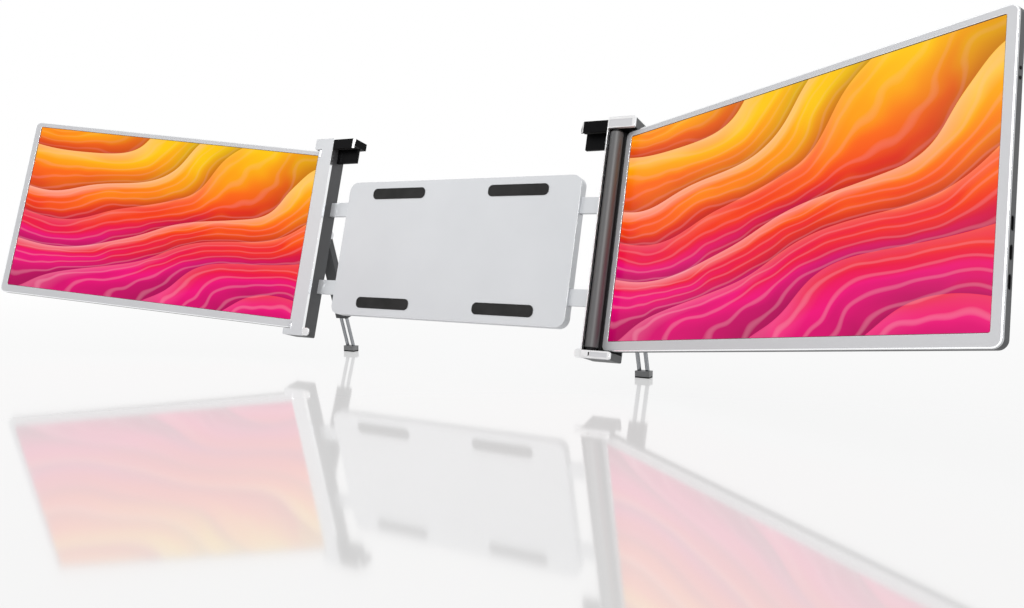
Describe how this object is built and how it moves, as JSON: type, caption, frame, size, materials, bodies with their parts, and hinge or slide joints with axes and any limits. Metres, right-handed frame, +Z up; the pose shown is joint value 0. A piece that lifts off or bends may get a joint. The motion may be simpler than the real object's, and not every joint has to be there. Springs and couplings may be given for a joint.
{
  "type": "laptop screen extender",
  "caption": "Portable side screens on sliding, hinged brackets that hang on a laptop's lid, propped by telescopic rear legs.",
  "frame": {"origin": "middle of the laptop lid's top edge, at the lid's rear face", "axes": "+X to the right as the user sees it, +Y away from the user, +Z up; the lid and the centre body lean back 15 degrees"},
  "size_m": [1.0269, 0.2578, 0.28],
  "materials": {
    "silver_metal": "satin anodised",
    "dark_grey_shell": "fine matte",
    "black_plastic": "matte",
    "black_rubber": "soft matte",
    "steel": "brushed",
    "picture_glass": "lit picture under clear glass",
    "backlight_film": "matte",
    "circuit_board": "coated board"
  },
  "bodies": {
    "centre_body": {"centre_front_panel": "silver_metal", "centre_rear_cover": "silver_metal", "lid_pads": "black_rubber", "rail_guides": "black_plastic", "rail_springs": "steel", "centre_screws": "steel"},
    "left_bracket": {"left_upper_rail": "silver_metal", "left_lower_rail": "silver_metal", "left_front_frame": "silver_metal", "left_side_housing": "dark_grey_shell", "left_rear_cover": "dark_grey_shell", "left_top_hook": "black_plastic", "left_hook_pad": "black_rubber", "left_bottom_hook": "silver_metal", "left_bracket_screws": "steel", "left_leg_mount": "steel", "left_leg_pin": "steel"},
    "left_screen": {"left_bezel": "silver_metal", "left_display": "picture_glass", "left_backlight": "backlight_film", "left_driver_board": "circuit_board", "left_ports": "steel", "left_rear_shell": "dark_grey_shell", "left_hinge_leaf": "steel", "left_hinge_pins": "steel", "left_screen_screws": "steel"},
    "left_power_button": {"left_power_button": "black_plastic"},
    "left_menu_button": {"left_menu_button": "black_plastic"},
    "left_leg": {"left_leg_housing": "dark_grey_shell"},
    "left_leg_foot": {"left_leg_rods": "steel", "left_leg_foot": "dark_grey_shell", "left_foot_pad": "black_rubber"},
    "right_bracket": {"right_upper_rail": "silver_metal", "right_lower_rail": "silver_metal", "right_front_frame": "silver_metal", "right_side_housing": "dark_grey_shell", "right_rear_cover": "dark_grey_shell", "right_top_hook": "black_plastic", "right_hook_pad": "black_rubber", "right_bottom_hook": "silver_metal", "right_bracket_screws": "steel", "right_leg_mount": "steel", "right_leg_pin": "steel"},
    "right_screen": {"right_bezel": "silver_metal", "right_display": "picture_glass", "right_backlight": "backlight_film", "right_driver_board": "circuit_board", "right_ports": "steel", "right_rear_shell": "dark_grey_shell", "right_hinge_leaf": "dark_grey_shell", "right_hinge_pins": "steel", "right_screen_screws": "steel", "right_hinge_tube": "black_plastic"},
    "right_power_button": {"right_power_button": "black_plastic"},
    "right_menu_button": {"right_menu_button": "black_plastic"},
    "right_leg": {"right_leg_housing": "dark_grey_shell"},
    "right_leg_foot": {"right_leg_rods": "steel", "right_leg_foot": "dark_grey_shell", "right_foot_pad": "black_rubber"}
  },
  "joints": [
    {"name": "left_bracket_slide", "type": "slide", "parent": "centre_body", "child": "left_bracket", "axis": [-1, 0, 0], "range_m": [-0.003, 0.027]},
    {"name": "left_screen_hinge", "type": "hinge", "parent": "left_bracket", "child": "left_screen", "pos_m": [-0.19225, -0.00657, 0.00176], "axis": [0, 0.2588, 0.9659], "range_deg": [-35, 155]},
    {"name": "left_power_button_press", "type": "slide", "parent": "left_screen", "child": "left_power_button", "axis": [0.9063, 0.4082, -0.1094], "range_m": [0, 0.0005], "stiffness_N_per_m": 1500, "springref_m": -0.0003},
    {"name": "left_menu_button_press", "type": "slide", "parent": "left_screen", "child": "left_menu_button", "axis": [0.9063, 0.4082, -0.1094], "range_m": [0, 0.0005], "stiffness_N_per_m": 1500, "springref_m": -0.0003},
    {"name": "left_leg_hinge", "type": "hinge", "parent": "left_bracket", "child": "left_leg", "pos_m": [-0.1909, -0.00698, -0.09752], "axis": [1, 0, 0], "range_deg": [-33, 28]},
    {"name": "left_leg_slide", "type": "slide", "parent": "left_leg", "child": "left_leg_foot", "axis": [0, 0.309, -0.9511], "range_m": [-0.03, 0.015]},
    {"name": "right_bracket_slide", "type": "slide", "parent": "centre_body", "child": "right_bracket", "axis": [1, 0, 0], "range_m": [-0.003, 0.027]},
    {"name": "right_screen_hinge", "type": "hinge", "parent": "right_bracket", "child": "right_screen", "pos_m": [0.18055, -0.00869, 0.00233], "axis": [0, -0.2588, -0.9659], "range_deg": [-31.5, 152.5]},
    {"name": "right_power_button_press", "type": "slide", "parent": "right_screen", "child": "right_power_button", "axis": [-0.887, 0.446, -0.1195], "range_m": [0, 0.0005], "stiffness_N_per_m": 1500, "springref_m": -0.0003},
    {"name": "right_menu_button_press", "type": "slide", "parent": "right_screen", "child": "right_menu_button", "axis": [-0.887, 0.446, -0.1195], "range_m": [0, 0.0005], "stiffness_N_per_m": 1500, "springref_m": -0.0003},
    {"name": "right_leg_hinge", "type": "hinge", "parent": "right_bracket", "child": "right_leg", "pos_m": [0.1909, -0.00698, -0.09752], "axis": [1, 0, 0], "range_deg": [-33, 28]},
    {"name": "right_leg_slide", "type": "slide", "parent": "right_leg", "child": "right_leg_foot", "axis": [0, 0.309, -0.9511], "range_m": [-0.03, 0.015]}
  ]
}
